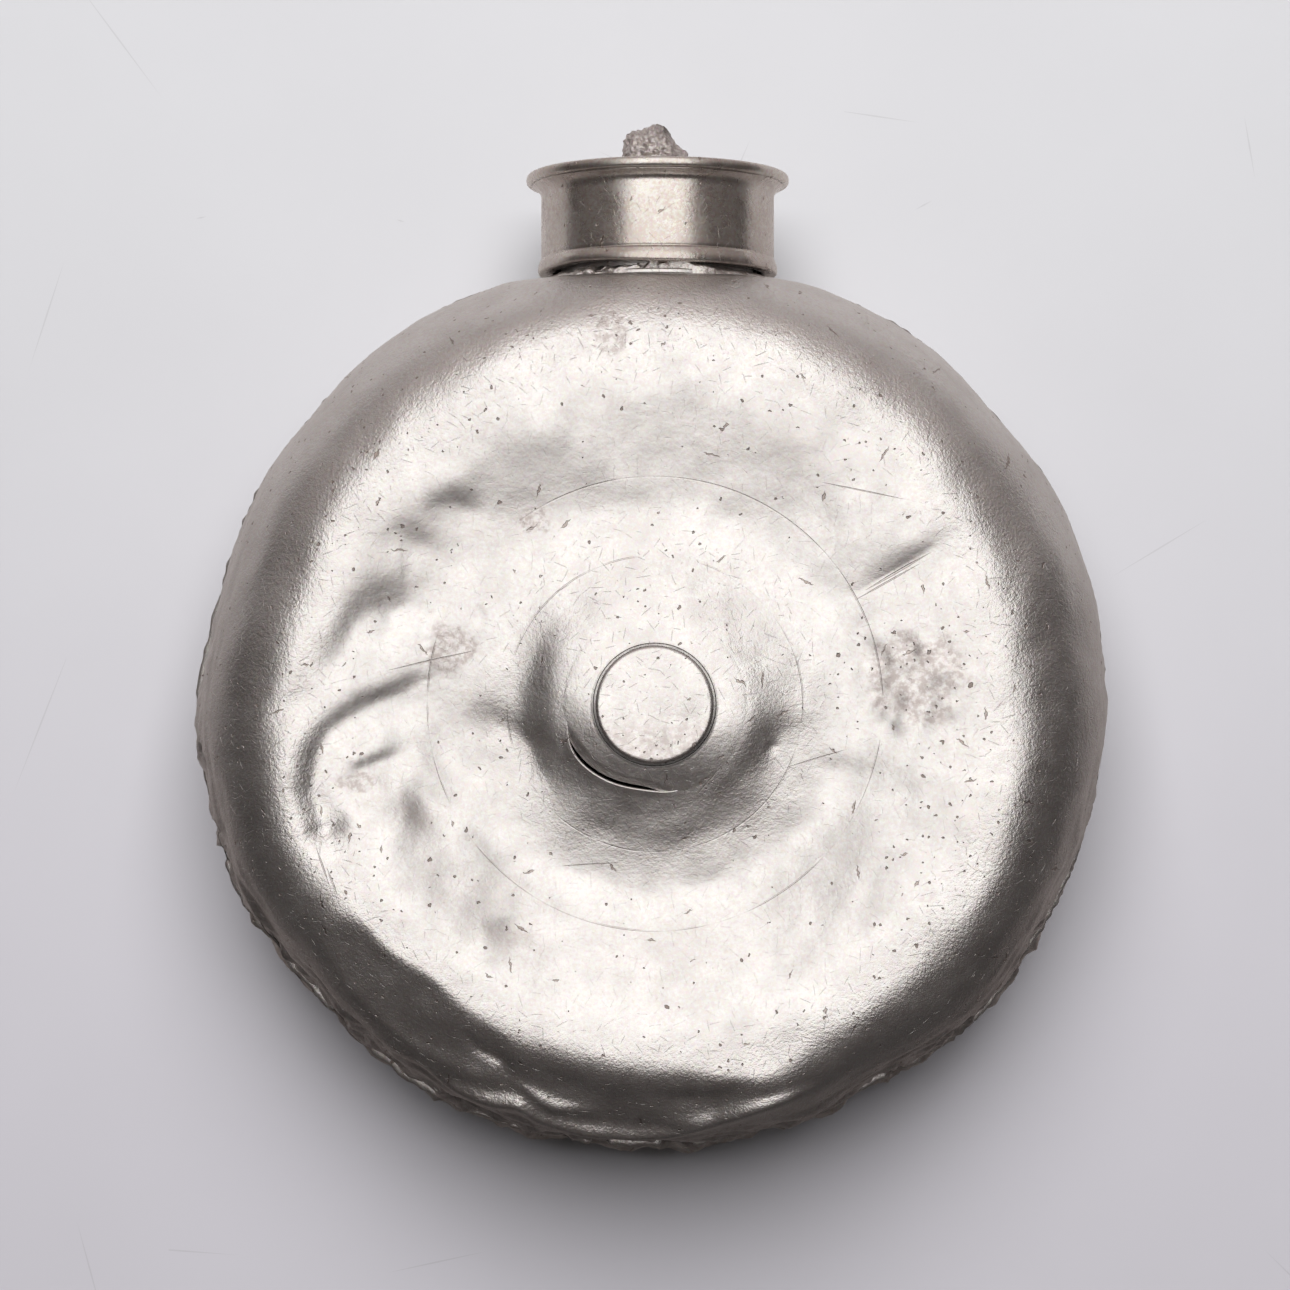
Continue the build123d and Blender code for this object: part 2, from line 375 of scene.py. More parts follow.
FRONT_FOLDS = [
    # the two big dents on the left: their upper and outer walls
    Fold(
        1.2, 8.0, 3.7,
        (-24.5, 13.0), (-31.0, 15.2), (-36.6, 13.8), (-40.4, 10.4), (-42.8, 6.4), (-45.6, 2.0), (-51.0, -5.0),
    ),
    Fold(0.95, 7.0, 2.4, (-26.5, 5.2), (-34.0, 1.4), (-39.5, -1.0), (-44.0, -4.0), (-48.5, -10.0)),
    Fold(1.1, 5.0, 2.6, (-40.5, -0.6), (-45.3, -6.0), (-46.2, -12.0), (-44.8, -17.0), (-41.4, -24.0)),
    Fold(0.5, 3.4, 2.2, (-46.6, -5.0), (-47.0, -11.5), (-45.6, -16.5), (-43.0, -21.0)),
    # smaller ones above and inside them
    Fold(0.8, 6.5, 8.0, (-42.0, 15.0), (-34.0, 20.0), (-28.0, 23.4), (-19.0, 27.6), (-5.0, 32.0)),
    Fold(0.32, 2.0, 4.2, (-32.6, 25.6), (-27.8, 27.2), (-22.6, 25.4)),
    Fold(0.42, 2.6, 5.0, (-41.0, 19.0), (-35.0, 22.4), (-31.2, 21.2), (-25.6, 17.0)),
    Fold(0.8, 3.0, 1.7, (-32.6, -6.4), (-38.2, -8.5), (-44.4, -11.6)),
    Fold(0.5, 2.4, 1.5, (-35.0, -11.6), (-40.5, -12.2), (-45.4, -11.8)),
    Fold(0.65, 2.2, 2.8, (-38.6, -10.6), (-32.6, -12.6), (-27.0, -18.0)),
    Fold(0.4, 2.6, 1.2, (-14.2, -29.8), (-19.0, -30.4), (-23.8, -31.0)),
    # beside the boss, and the gouge on the right
    Fold(0.75, 5.5, 3.0, (23.5, -3.8), (15.5, -4.8), (6.5, -6.8)),
    Fold(0.6, 2.2, 5.0, (-26.5, -0.4), (-17.0, -6.0), (-7.0, -11.0)),
    Fold(0.45, 5.0, 2.6, (36.5, -9.8), (28.5, -10.4), (19.5, -8.2)),
    Fold(0.4, 5.5, 1.8, (44.5, 24.6), (34.0, 18.8), (22.0, 11.8)),
    Fold(0.14, 0.5, 0.4, (41.0, 23.0), (33.5, 18.6), (26.0, 14.2)),
    # the crumpled bottom: a hollow, the ridges below it and a hook-shaped crease
    Fold(1.3, 3.4, 3.4, (-39.0, -44.0), (-20.0, -51.6), (-6.0, -55.6), (12.0, -54.6)),
    Fold(
        -1.4, 0.6, 1.4,
        (-33.0, -51.6), (-27.0, -53.9), (-22.6, -55.0), (-18.8, -55.3),
        (-15.8, -57.5), (-11.0, -59.0), (-5.0, -59.6),
    ),
    Fold(-1.4, 0.6, 1.4, (-15.0, -57.8), (-9.0, -59.2), (-3.0, -59.8), (3.0, -59.4), (9.0, -57.8)),
    Fold(-0.8, 0.6, 1.2, (-20.5, -52.4), (-14.2, -56.0), (-7.5, -57.2)),
    Fold(-1.1, 0.7, 1.4, (-1.0, -58.8), (8.0, -57.6), (14.0, -55.2), (24.0, -52.4)),
    Fold(0.8, 1.6, 1.6, (-1.0, -55.0), (8.0, -55.2), (14.0, -52.0)),
    Fold(0.6, 0.8, 0.8, (-26.4, -44.6), (-24.6, -48.0), (-21.2, -49.8), (-20.2, -54.0)),
]

# The lower left shoulder, pushed in to a slope that meets the face in a sharp edge
SLOPE_ANGLE = 233.0
SLOPE_START = 48.8
SLOPE_FALL = math.tan(math.radians(30))
SLOPE_EDGE = 0.45


def seam_radius(angle):
    return BODY_R + swells(angle, SEAM_SWELLS)


def lip_width(angle):
    return np.clip(swells(angle, LIP_SWELLS), 0.0, 3.6)


def profile(radius, points, blur):
    """A height by radius, smoothed."""
    samples = np.linspace(5, 75, 1401)
    r, z = zip(*points)
    return np.interp(radius, samples, blurred(np.interp(samples, r, z), samples, blur))


# The crumpled lower rim
CRUMPLE_ANGLE = 262.0
CRUMPLE_HALF = 80.0
CREASE_STRETCH = 3.5  # how many times longer than wide the creases are

# Holes beside the seam: angle and half width in degrees, and depth
SEAM_HOLES = [
    (186.0, 1.0, 1.2), (196.0, 0.8, 1.2), (199.5, 0.9, 1.5), (211.0, 3.2, 2.2), (225.0, 1.6, 1.2),
    (243.0, 1.4, 1.3), (257.0, 2.2, 1.5), (263.0, 1.2, 1.6), (273.0, 2.0, 2.2), (284.5, 2.8, 2.2),
    (303.0, 1.2, 1.3), (313.5, 1.5, 2.0), (325.0, 1.3, 1.3),
]
FRONT_HOLE_RISE = 8.0  # how far the holes' middles lie above the seam on the front half
BACK_HOLE_DROP = 2.2  # and below it on the back half's lip
HOLE_HALF_HEIGHT = 2.1


def angle_of(x, y):
    """Angle of points round the body, in degrees."""
    return np.degrees(np.arctan2(y, x))


def crumpled_share(grid):
    """1 round the lower rim, where the seam is crumpled, and little elsewhere."""
    return 0.12 + 0.88 * plateau(angle_of(grid[..., 0], grid[..., 1]), CRUMPLE_ANGLE, CRUMPLE_HALF)


def creases(grid, seed):
    """Creases that run along the seam, of about unit depth."""
    angle = np.arctan2(grid[..., 1], grid[..., 0])
    return ripple(round_points(BODY_R / CREASE_STRETCH, angle, grid[..., 2]), 3.2, seed)


def crumples(grid, seed):
    """Sharp-edged irregular hollows and long creases round the lower rim, deepest at the seam."""
    height = np.abs(grid[..., 2] - MID_Z)
    near_seam = 1 - smooth_step(height, 3.0, 15.0)
    facets = np.abs(ripple(grid, 10.0, seed)) * 0.8 + np.abs(ripple(grid, 4.5, seed + 1)) * 0.4
    creased = 0.24 * creases(grid, seed + 2) * (1 - smooth_step(height, 9.0, 19.0))
    return crumpled_share(grid) * (near_seam * (facets - 0.6) + creased)


def set_rim_shade_and_wear(obj, grid, rows, seed, rise):
    """Painted shade in the holes and creases of a shell's outer rows, and the dull wear beside its seam."""
    height = np.abs(grid[:rows, :, 2] - MID_Z)
    share = crumpled_share(grid[:rows])
    lines = smooth_step(creases(grid[:rows], seed + 2), 0.6, 1.6) * (1 - smooth_step(height, 11.0, 19.0))
    shade_and_dirt = np.zeros(grid.shape[:-1])
    # Near-black painted shade in the seam's holes and along its crease lines.
    shade_and_dirt[:rows] = np.maximum(smooth_step(seam_holes(grid[:rows], rise), 0.3, 1.0), 0.55 * share * lines)
    set_attribute(obj, "shade_and_grime", shade_and_dirt)
    wear_and_shade = np.zeros(grid.shape[:-1])
    wear_and_shade[:rows] = 0.9 * share * (1 - smooth_step(height, 12.0, 21.0))
    set_attribute(obj, "wear_and_shade", wear_and_shade)


def seam_holes(grid, rise):
    """How far the rim is pushed in at the holes of the seam, with a raised lip round each."""
    angle = angle_of(grid[..., 0], grid[..., 1])
    total = np.zeros(angle.shape)
    for middle, half, depth in SEAM_HOLES:
        across = angle_gap(angle, middle) / half
        up = (grid[..., 2] - MID_Z - rise) / HOLE_HALF_HEIGHT
        out = np.sqrt(across**2 + up**2)
        total += depth * np.exp(-(out**4)) - 0.3 * np.exp(-(((out - 1.5) / 0.35) ** 2))
    return total


def front_sag(x, y):
    """How far the front face is pushed in below the boss."""
    return plateau(angle_of(x, y), SAG_ANGLE, SAG_HALF) * profile(np.hypot(x, y), FRONT_SAG, 0.6)


def ring_shares():
    """Places of the face's rings as shares of the way from the bore to the crest, closer near the bore."""
    fine = np.linspace(0.006, 0.12, 16, endpoint=False)
    coarse = np.linspace(0.12, 1, 66, endpoint=False)
    return np.concatenate([[0, 0.003], fine, coarse])


def grid_normals(grid):
    """Outward unit normals of a grid [ring, column] that closes round its columns."""
    wrapped = np.concatenate([grid[:, -1:], grid, grid[:, :1]], axis=1)
    across = (wrapped[:, 2:] - wrapped[:, :-2]) / 2
    along_rings = np.gradient(grid, axis=0)
    normals = np.cross(along_rings, across)
    return normals / np.maximum(np.linalg.norm(normals, axis=-1, keepdims=True), 1e-9)


def flatten_seat(grid):
    """Flattens what reaches past the neck's seat, with a rounded edge."""
    grid[..., 1] = soft_min(grid[..., 1], np.full(grid.shape[:-1], SEAT_Y), SEAT_EDGE)
    return grid


def shell_grid(angle, bore_r, dish_points, rim_r, rim_z):
    """The outer face of a half shell before it was dented, from the bore over a round shoulder to the rim."""
    crest_r = CREST_R + swells(angle, CREST_SWELLS)
    a = np.radians(angle)
    rows = []
    for share in ring_shares():
        r = bore_r + share * (crest_r - bore_r)
        rows.append((r, profile(r, dish_points, DISH_BLUR)))
    top_z = profile(crest_r, dish_points, DISH_BLUR)
    for q in np.linspace(0, math.pi / 2, SHOULDER_ROWS):
        rows.append((crest_r + (rim_r - crest_r) * np.sin(q), rim_z + (top_z - rim_z) * np.cos(q)))
    r = np.array([row[0] for row in rows])
    z = np.array([row[1] + 0 * angle for row in rows])
    return round_points(r, a, z)


def thicken(outer, normals, keep_every=6):
    """Adds the inner face of a shell to its outer grid, so that the two close into one skin."""
    picks = np.unique(np.concatenate([np.arange(0, len(outer), keep_every), [len(outer) - 1]]))
    inner = outer[picks] - normals[picks] * WALL
    inner[-1, :, 2] = outer[-1, :, 2]
    return np.concatenate([outer, inner[::-1]])


# The tear between the front shell and its boss ring
CRACK_ANGLE = 238.0
CRACK_HALF = 40.0
CRACK_SWELLS = [(207, 22, 0.5), (264, 26, -0.75)]
TORN_LIFT = 0.18  # how far the shell's edge curls up at it
RING_SINK = 0.35  # and how far the ring's edge lies below


def crack_share(angle):
    """1 where the shell is torn away from the boss ring, 0 elsewhere."""
    return plateau(angle, CRACK_ANGLE, CRACK_HALF, 6)


def bore_edge(angle):
    """Radius of the front shell's hole. It wanders where it is torn, and the ring hides it elsewhere."""
    torn = crack_share(angle)
    return RING_R + torn * swells(angle, CRACK_SWELLS) - RING_LAP * (1 - torn)


def pressed_shoulder(grid):
    """Presses the lower left shoulder in to its slope."""
    slope = math.radians(SLOPE_ANGLE)
    reach = grid[..., 0] * math.cos(slope) + grid[..., 1] * math.sin(slope)
    plane = CREST_Z - SLOPE_FALL * (reach - SLOPE_START + 0.22 * ripple(grid, 11.0, 3))
    above_rim = smooth_step(grid[..., 2], MID_Z, MID_Z + 8)
    cut = soft_min(grid[..., 2], plane, SLOPE_EDGE)
    grid[..., 2] = grid[..., 2] * (1 - above_rim) + cut * above_rim
    return grid


def bore_fade(x, y):
    """0 at the boss, where the face keeps its shape, and 1 a little further out."""
    return smooth_step(np.hypot(x, y), RING_R, RING_R + 6)


def face_push(grid):
    """How far the front face is pushed in by its dents, folds, pits and waves."""
    x, y = grid[..., 0], grid[..., 1]
    push = np.zeros(x.shape)
    for centre, size, depth, turn, edge in FRONT_DENTS:
        push += depth * oval(x, y, centre, size, turn, edge)
    for line in FRONT_FOLDS:
        push += line.depth * fold(x, y, line.points, line.left, line.right)
    pitted = oval(x, y, (34.8, 3.0), (8.0, 9.0), 0, 4.0)
    push += 0.09 * pitted * ripple(grid, 4.5, 4)
    push += 0.12 * ripple(grid, 24.0, 1) + 0.04 * ripple(grid, 8.0, 2)
    return push * bore_fade(x, y)


def front_shell():
    angle = np.linspace(0, 360, COLUMNS, endpoint=False)
    edge_r = bore_edge(angle)
    rim_r = seam_radius(angle) - lip_width(angle)
    grid = pressed_shoulder(shell_grid(angle, edge_r, FRONT_DISH, rim_r, MID_Z))
    normals = grid_normals(grid)
    spun = thicken(grid, normals)
    push = face_push(grid) + crumples(grid, 71) + seam_holes(grid, FRONT_HOLE_RISE)
    torn = crack_share(angle) * np.exp(-(((np.hypot(grid[..., 0], grid[..., 1]) - edge_r) / 0.7) ** 2))
    grid = grid - normals * push[..., None]
    grid[..., 2] += TORN_LIFT * torn - front_sag(grid[..., 0], grid[..., 1])
    obj = tube_object("front_shell_worn", thicken(flatten_seat(grid), normals))
    set_rim_shade_and_wear(obj, spun, len(grid), 71, FRONT_HOLE_RISE)
    return obj


def back_shell():
    angle = np.linspace(0, 360, COLUMNS, endpoint=False)
    full_r = seam_radius(angle)
    lip = lip_width(angle)
    widest_z = MID_Z + np.maximum(0.6, LIP_DROP * lip)
    dish = [(r, z + 0.4) for r, z in FRONT_DISH]
    grid = shell_grid(angle, np.full(COLUMNS, RING_R), dish, full_r, widest_z)
    a = np.radians(angle)
    rows = []
    for t in np.linspace(0, 1, LIP_ROWS + 1)[1:]:
        r = full_r - lip * t**1.6
        z = widest_z + (MID_Z - widest_z) * t
        rows.append(round_points(r, a, z))
    grid = np.concatenate([grid, rows])
    normals = grid_normals(grid)
    spun = thicken(grid, normals, BACK_KEEP_EVERY)
    push = 0.25 + 0.12 * ripple(grid, 26.0, 11) + 0.04 * ripple(grid, 8.0, 12)
    push = push * bore_fade(grid[..., 0], grid[..., 1])
    push += 0.7 * crumples(grid, 81) + seam_holes(grid, BACK_HOLE_DROP)
    grid = grid - normals * push[..., None]
    grid = flatten_seat(grid)
    grid[..., 2] = np.minimum(grid[..., 2], TOP_Z)
    whole = thicken(grid, normals, BACK_KEEP_EVERY)
    whole[..., 2] = 2 * MID_Z - whole[..., 2]
    obj = tube_object("back_shell_worn", whole)
    set_rim_shade_and_wear(obj, spun, len(grid), 81, BACK_HOLE_DROP)
    return obj


def cut_neck_hole(obj):
    """Opens a shell where the neck goes through its seat."""
    outline = np.array([(NECK_R - 0.05, SEAT_Y - 6), (NECK_R - 0.05, SEAT_Y + 4)])
    cutter = capped_object("neck_cutter", turned_neck(outline, 96))
    face_outwards(cutter)
    face_outwards(obj)
    modifier = obj.modifiers.new("neck_hole", "BOOLEAN")
    modifier.operation = "DIFFERENCE"
    modifier.solver = "EXACT"
    modifier.object = cutter
    bpy.context.view_layer.update()
    cut = bpy.data.meshes.new_from_object(obj.evaluated_get(bpy.context.evaluated_depsgraph_get()))
    obj.modifiers.clear()
    obj.data = cut
    bpy.data.objects.remove(cutter)


# -------------------- seam, bosses


BEAD_POINTS = 700
BEAD_SIDES = 16


def seam_bead():
    """A lumpy bead of solder along the seam, from one side of the neck's seat round to the other."""
    gap = math.degrees(math.acos(SEAT_Y / BODY_R)) + 0.5
    angle = np.linspace(90 + gap, 450 - gap, BEAD_POINTS)
    a = np.radians(angle)
    mid_r = seam_radius(angle) - lip_width(angle)
    spots = round_points(mid_r, a, MID_Z)
    holed = smooth_step(seam_holes(spots, 0.0), 0.3, 1.0)
    size = 0.42 + 0.12 * ripple(spots, 5.0, 21) + 0.1 * ripple(spots, 2.2, 22) + 0.16 * lip_width(angle)
    size = np.clip(size, 0.2, 1.1) * (1 - 0.75 * holed)
    shelf = 0.6 * smooth_step(lip_width(angle), 0.3, 1.6)
    rings = []
    for i in range(BEAD_SIDES):
        q = 2 * math.pi * i / BEAD_SIDES
        r = mid_r - 0.25 + shelf + size * math.cos(q)
        z = MID_Z + 0.9 * size * math.sin(q)
        rings.append(round_points(r, a, z))
    grid = np.stack(rings, axis=1)
    obj = capped_object("seam_solder_lumpy", grid)
    # Painted shade: the whole bead is darkened a little, and fully in its holes, where shade falls.
    set_attribute(obj, "shade_and_grime", with_ends(np.repeat(np.maximum(holed, 0.4), grid.shape[1])))
    return obj


def groove_shade(y):
    """Share of painted shade in the groove round the button, darker towards the bottom, the side away from
    the light.
    """
    return 0.1 + 0.8 * smooth_step(-y, -3.5, 5.5)


def boss_ring(name, front):
    """The turned ring round the button. The front one sinks with the face and slips under its edge."""
    outline = rounded_outline(
        [
            (BUTTON_R - 2.4, RING_LOW[2]), (RING_R - 2.1, RING_LOW[2]), (RING_R - 2.1, TOP_Z - 1.9),
            (RING_R, TOP_Z - 1.9), (RING_R, TOP_Z - 1.1), (RECESS_R, TOP_Z - 0.6),
            (RECESS_R, TOP_Z - 1.5), (BUTTON_R - 2.4, TOP_Z - 1.5),
        ],
        [0, 0, 0, 0, 0.1, 0.15, 0.1, 0],
    )
    outline = dense(outline, 0.3)
    columns = 320
    grid = turned_z(outline, columns)
    radius = np.hypot(grid[..., 0], grid[..., 1])
    outer = smooth_step(radius, RECESS_R, RING_R)
    angle = np.linspace(0, 360, columns, endpoint=False)
    torn = crack_share(angle)
    if front:
        edge = bore_edge(angle) + 2 * RING_LAP - (2 * RING_LAP + CRACK_GAP) * torn
        wanted = radius + outer * (edge - RING_R)
        grid[..., :2] *= (wanted / radius)[..., None]
        on_top = smooth_step(grid[..., 2], TOP_Z - 1.4, TOP_Z - 1.15) * (radius > RECESS_R + 0.1)
        proud = RING_PROUD * smooth_step(wanted, RECESS_R + 1, RING_R - 1)
        lap = proud * np.clip((RING_R - wanted) / RING_LAP, -1, 1)
        face = profile(wanted, FRONT_DISH, DISH_BLUR) + lap
        grid[..., 2] += on_top * (face - grid[..., 2]) - front_sag(grid[..., 0], grid[..., 1])
        grid[..., 2] -= RING_SINK * torn * smooth_step(radius, RING_R - 1.2, RING_R)
    else:
        grid[..., 2] = 2 * MID_Z - grid[..., 2]
    obj = tube_object(name, grid)
    # Painted shade in the groove round the button, darker towards the bottom.
    shade_and_dirt = 1 - smooth_step(radius, RECESS_R, RECESS_R + 0.3)
    set_attribute(obj, "shade_and_grime", shade_and_dirt * groove_shade(grid[..., 1]))
    return obj


def boss_button(name, front):
    outline = rounded_outline(
        [
            (0.02, TOP_Z - 5.5), (5.55, TOP_Z - 5.5), (5.55, TOP_Z - 1.45), (BUTTON_R, TOP_Z - 1.45),
            (BUTTON_R, TOP_Z), (BUTTON_R - 3, TOP_Z), (0.02, TOP_Z),
        ],
        [0, 0, 0, 0, 0.75, 0, 0],
    )
    grid = turned_z(dense(outline, 0.35, closed=False), 160)
    if front:
        top = smooth_step(grid[..., 2], TOP_Z - 0.6, TOP_Z - 0.1)
        grid[..., 2] += top * (0.03 * ripple(grid, 6.0, 41) - 0.05)
    else:
        grid[..., 2] = 2 * MID_Z - grid[..., 2]
    radius = np.hypot(grid[..., 0], grid[..., 1])
    obj = capped_object(name, grid)
    # Painted shade at the button's edge in its groove, darker towards the bottom.
    shade_and_dirt = smooth_step(radius, BUTTON_R - 0.4, BUTTON_R - 0.05)
    set_attribute(obj, "shade_and_grime", with_ends(shade_and_dirt * groove_shade(grid[..., 1])))
    set_attribute(obj, "wear_and_shade", with_ends(smooth_step(-grid[..., 1], -0.5, 5.0)))
    return obj


# -------------------- neck and cap


def thread_wave(grid, start_y, end_y, phase):
    """Height of a right-handed screw ridge, 0 to 1, at points round the neck's axis."""
    turn = np.arctan2(grid[..., 2] - MID_Z, grid[..., 0] - NECK_X) / (2 * math.pi)
    place = (grid[..., 1] - start_y) / THREAD_PITCH + turn + phase
    gap = np.abs((place + 0.5) % 1 - 0.5) * THREAD_PITCH
    ridge = 1 - smooth_step(gap, 0.3, 0.8)
    y = grid[..., 1]
    return ridge * smooth_step(y, start_y, start_y + 1.0) * (1 - smooth_step(y, end_y - 1.0, end_y))


def scale_about_neck(grid, factor):
    grid[..., 0] = NECK_X + (grid[..., 0] - NECK_X) * factor
    grid[..., 2] = MID_Z + (grid[..., 2] - MID_Z) * factor
    return grid


def neck():
    low_y = NECK_LOW[1]
    outline = rounded_outline(
        [
            (NECK_BORE_R, low_y), (NECK_R - 0.05, low_y), (NECK_R - 0.05, SEAT_Y + 0.05),
            (COLLAR_R, SEAT_Y + 0.05), (COLLAR_R - 0.1, SEAT_Y + COLLAR_H - 0.4),
            (NECK_R, SEAT_Y + COLLAR_H - 0.4), (NECK_R, MOUTH_Y), (NECK_BORE_R, MOUTH_Y),
        ],
        [0.2, 0.2, 0, 0.1, 0.4, 0.3, 0.35, 0.35],
    )
    grid = turned_neck(dense(outline, 0.22), 192)
    radius = neck_radius(grid)
    outside = smooth_step(radius, NECK_R - 0.3, NECK_R - 0.05)
    ridge = NECK_RIDGE_H * outside * thread_wave(grid, SEAT_Y + 2.6, MOUTH_Y - 0.5, 0.0)
    grid = scale_about_neck(grid, (radius + ridge) / radius)
    return tube_object("neck_threaded", grid)


def neck_solder():
    """A ragged collar of solder round the foot of the neck, tallest in front and right of the middle."""
    outline = [
        (NECK_R + 0.3, SEAT_Y - 0.3), (COLLAR_R + 0.6, SEAT_Y - 0.3), (COLLAR_R + 0.35, SEAT_Y + 0.6),
        (NECK_R + 1.2, SEAT_Y + COLLAR_H + 0.1), (NECK_R + 0.3, SEAT_Y + COLLAR_H + 0.1),
    ]
    columns = 360
    grid = turned_neck(dense(rounded_outline(outline, [0, 0.2, 0.5, 0.5, 0], 4), 0.2), columns)
    turn = np.degrees(np.linspace(0, 2 * math.pi, columns, endpoint=False))
    ragged = plateau(turn, -20, 42)
    tall = swells(turn, [(8, 16, 0.75)])
    radius = neck_radius(grid)
    lump = 0.008 * ripple(grid, 4.0, 51) + 0.005 * ripple(grid, 1.6, 52)
    lump += ragged * (0.006 + 0.016 * ripple(grid, 1.9, 53))
    grid = scale_about_neck(grid, 1 + lump * smooth_step(radius, NECK_R + 0.5, COLLAR_R))
    flat_z = np.full(radius.shape, MID_Z + COLLAR_R - 0.7)
    grid[..., 2] = soft_min(grid[..., 2], flat_z, 0.5) + 0.12 * ragged * ripple(grid, 2.2, 55)
    upper = smooth_step(grid[..., 1], SEAT_Y, SEAT_Y + 0.6)
    grid[..., 1] += upper * (tall + 0.16 * ragged * ripple(grid, 2.0, 54))
    return tube_object("neck_solder_lumpy", grid)


def cap_barrel():
    under = LID_LOW[1]
    groove = CAP_RIM_Y + SKIRT_H
    outline = rounded_outline(
        [
            (CAP_BORE_R, CAP_RIM_Y), (SKIRT_R, CAP_RIM_Y), (SKIRT_R + 0.05, CAP_RIM_Y + 1.0),
            (CAP_R + 0.14, groove - 0.25), (CAP_R - 0.1, groove), (CAP_R, groove + 0.3),
            (CAP_R, under - COVE_H), (LID_R - 0.75, under), (CAP_BORE_R, under),
        ],
        [0.4, 0.5, 0.6, 0.15, 0.1, 0.15, 1.0, 0, 0],
    )
    grid = turned_neck(dense(outline, 0.25), 224)
    radius = neck_radius(grid)
    inside = 1 - smooth_step(radius, CAP_BORE_R + 0.02, CAP_BORE_R + 0.2)
    ridge = NECK_RIDGE_H * inside * thread_wave(grid, CAP_RIM_Y + 2.4, under - 2.2, 0.0)
    grid = scale_about_neck(grid, (radius - ridge) / radius)
    turn = np.degrees(np.arctan2(grid[..., 0] - NECK_X, grid[..., 2] - MID_Z))
    at_rim = 1 - smooth_step(grid[..., 1], CAP_RIM_Y, groove)
    grid[..., 1] += swells(turn, [(-38, 26, 0.45)]) * at_rim
    obj = tube_object("cap_barrel_worn", grid)
    flange = smooth_step(grid[..., 1], under - COVE_H - 0.4, under - 0.3)
    rim = 1 - smooth_step(grid[..., 1], CAP_RIM_Y + 0.4, CAP_RIM_Y + 1.6)
    # The cap's sides get a mottled stain that is partly its own brown speckle and partly painted shade,
    # darkening their reflection.
    sides_stain_and_shade = smooth_step(np.abs(turn), 45, 75)
    set_attribute(obj, "wear_and_shade", np.maximum(np.maximum(0.9 * flange, 0.6 * rim), sides_stain_and_shade))
    return obj


def cap_lid():
    low, top = LID_LOW[1], LID_HIGH[1]
    outline = rounded_outline(
        [(0.02, low), (LID_R, low), (LID_R, top), (LID_R - 4, top), (0.02, top)], [0, 0.8, 0.7, 0, 0]
    )
    grid = turned_neck(dense(outline, 0.5, closed=False), 224)
    return capped_object("cap_lid_worn", grid)


def cap_washer():
    low, top = WASHER_LOW[1], WASHER_HIGH[1]
    radius = (WASHER_HIGH[0] - WASHER_LOW[0]) / 2
    outline = rounded_outline([(0.02, low), (radius, low), (radius, top), (0.02, top)], [0, 0.35, 0.35, 0])
    grid = turned_neck(dense(outline, 0.5, closed=False), 96)
    return capped_object("cap_washer_leather", grid)


# The broken crest of the stump: how far across, and how high
STUMP_TOP = [
    (-5.1, 3.0), (-4.9, 4.6), (-4.5, 6.2), (-3.6, 6.8), (-2.0, 6.9), (-1.3, 7.4),
    (0.1, 7.8), (1.2, 7.6), (2.2, 6.2), (2.8, 4.8), (4.2, 3.9), (5.2, 2.7),
]
STUMP_SHIFT = -0.2
STUMP_HALF = (5.1, 3.4)


def cap_stump():
    """The broken root of a ring or knob: a ragged crest across the lid, torn and grainy."""
    base = STUMP_Y
    rings, columns = 90, 150
    share = np.linspace(0, 1, rings)[:, None]
    a = np.linspace(0, 2 * math.pi, columns, endpoint=False)[None, :]
    across, height = np.array(STUMP_TOP).T
    spread = np.clip(1 - share**5, 0.0004, 1) ** 0.5
    x = STUMP_HALF[0] * np.cos(a) * (0.82 + 0.18 * spread)
    z = STUMP_HALF[1] * np.sin(a) * spread
    top = np.interp(x, across, height) * (1 - 0.3 * (z / STUMP_HALF[1]) ** 2)
    y = top * share
    grid = np.stack([NECK_X + STUMP_SHIFT + x, base - 0.15 + y, MID_Z + z], axis=-1)
    rough = 0.14 * np.abs(ripple(grid, 2.4, 61)) + 0.09 * ripple(grid, 1.0, 62)
    normals = grid_normals(grid)
    lift = smooth_step(share, 0.02, 0.2)
    grid = grid - normals * (rough * lift)[..., None]
    obj = capped_object("cap_stump_broken", grid)
    torn = smooth_step(y, 4.5, 7.2) * smooth_step(x, -1.0, 2.0)
    set_attribute(obj, "shade_and_grime", with_ends(0.6 * torn))
    return obj


# -------------------- materials


